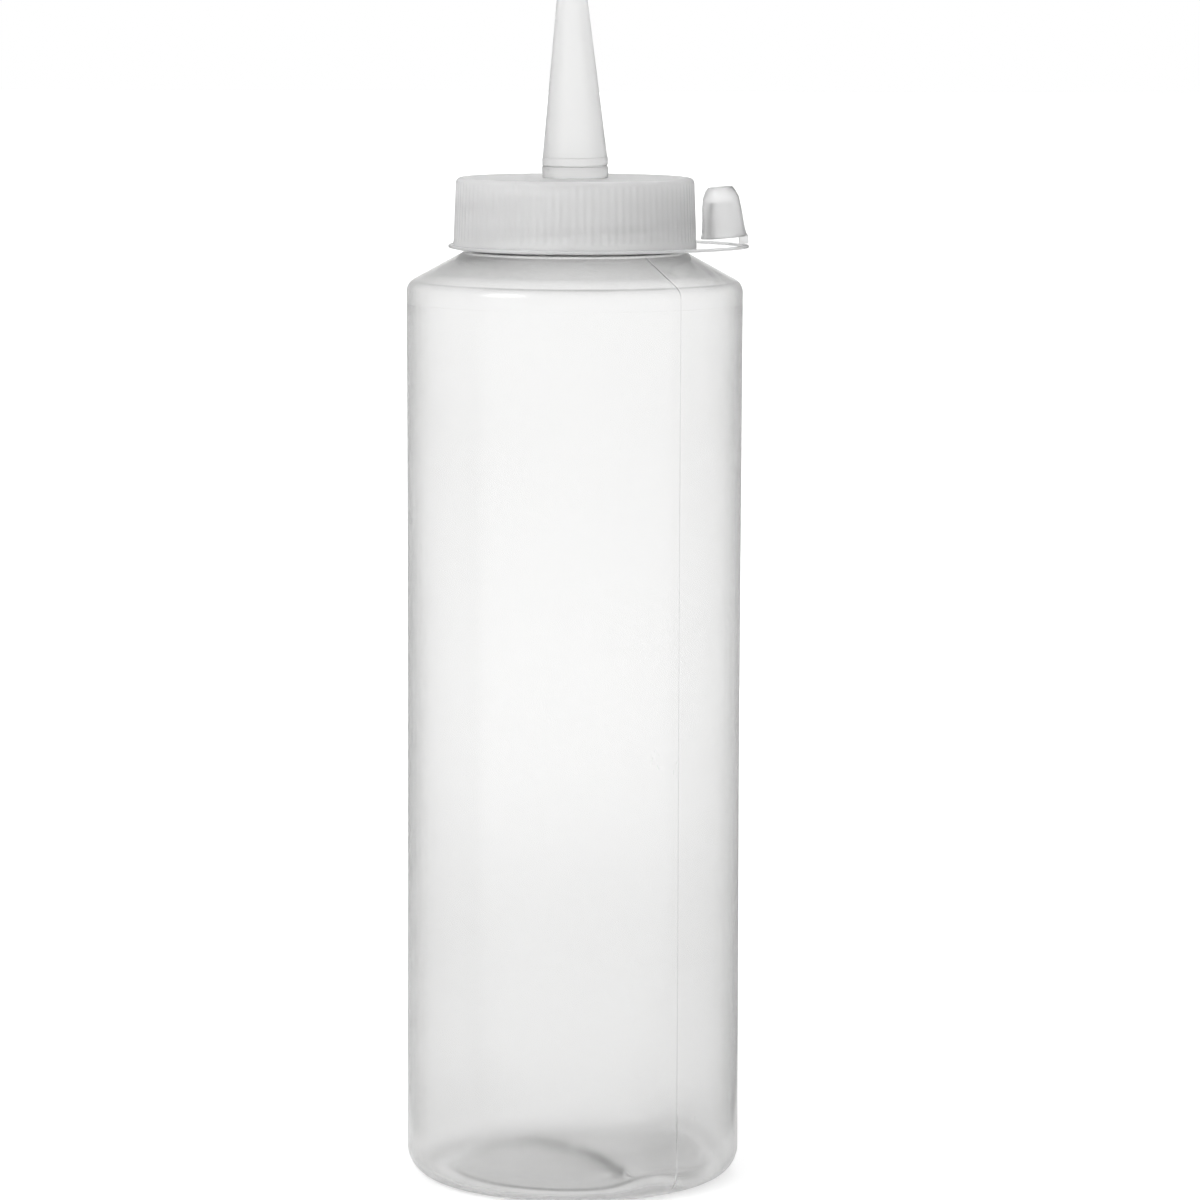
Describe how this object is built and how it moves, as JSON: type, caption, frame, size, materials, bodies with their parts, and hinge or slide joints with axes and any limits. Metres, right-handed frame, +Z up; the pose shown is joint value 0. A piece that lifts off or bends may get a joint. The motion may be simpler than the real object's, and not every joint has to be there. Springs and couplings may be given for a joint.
{
  "type": "squeeze sauce bottle with tethered tip cap",
  "caption": "Milky translucent squeeze bottle with a ribbed screw closure, a tapered nozzle and a tip cap kept on a loop strap.",
  "frame": {"origin": "centre of the circle that the bottle stands on, at the surface it stands on", "axes": "+Z up along the bottle's axis, +X towards the parked tip cap, -Y towards the viewer of the picture"},
  "size_m": [0.0559, 0.055, 0.204],
  "materials": {
    "bottle": "milky translucent blown polyethylene, satin",
    "washer": "foamed polyethylene, matt",
    "closure": "milky moulded polyethylene, fine vertical ribs",
    "nozzle": "milky translucent moulded polyethylene, smooth",
    "strap": "milky moulded polyethylene, smooth",
    "tip_cap": "milky translucent moulded polyethylene, smooth"
  },
  "bodies": {
    "bottle": {"bottle": "bottle"},
    "washer": {"seal_washer": "washer"},
    "closure": {"screw_cap": "closure", "nozzle": "nozzle"},
    "strap": {"strap": "strap"},
    "tip_cap": {"tip_cap": "tip_cap"}
  },
  "joints": [
    {"name": "cap_lift", "type": "slide", "parent": "bottle", "child": "washer", "axis": [0, 0, 1], "range_m": [0, 0.01261]},
    {"name": "cap_turn", "type": "hinge", "parent": "washer", "child": "closure", "pos_m": [0, 0, 0.1535], "axis": [0, 0, 1], "range_deg": [0, 1080]},
    {"name": "strap_swing", "type": "hinge", "parent": "closure", "child": "strap", "pos_m": [-0.02077, 0, 0.15398], "axis": [0, -1, 0], "range_deg": [-3, 60.86]},
    {"name": "tip_cap_tilt", "type": "hinge", "parent": "strap", "child": "tip_cap", "pos_m": [0.0282, 0, 0.15398], "axis": [0, -1, 0], "range_deg": [-64.66, 3.19]}
  ],
  "couplings": [
    {"joint": "cap_lift", "follows": "cap_turn", "m_per_rad": 0.00066845},
    {"joint": "tip_cap_tilt", "follows": "strap_swing", "ratio": -1.0624}
  ]
}
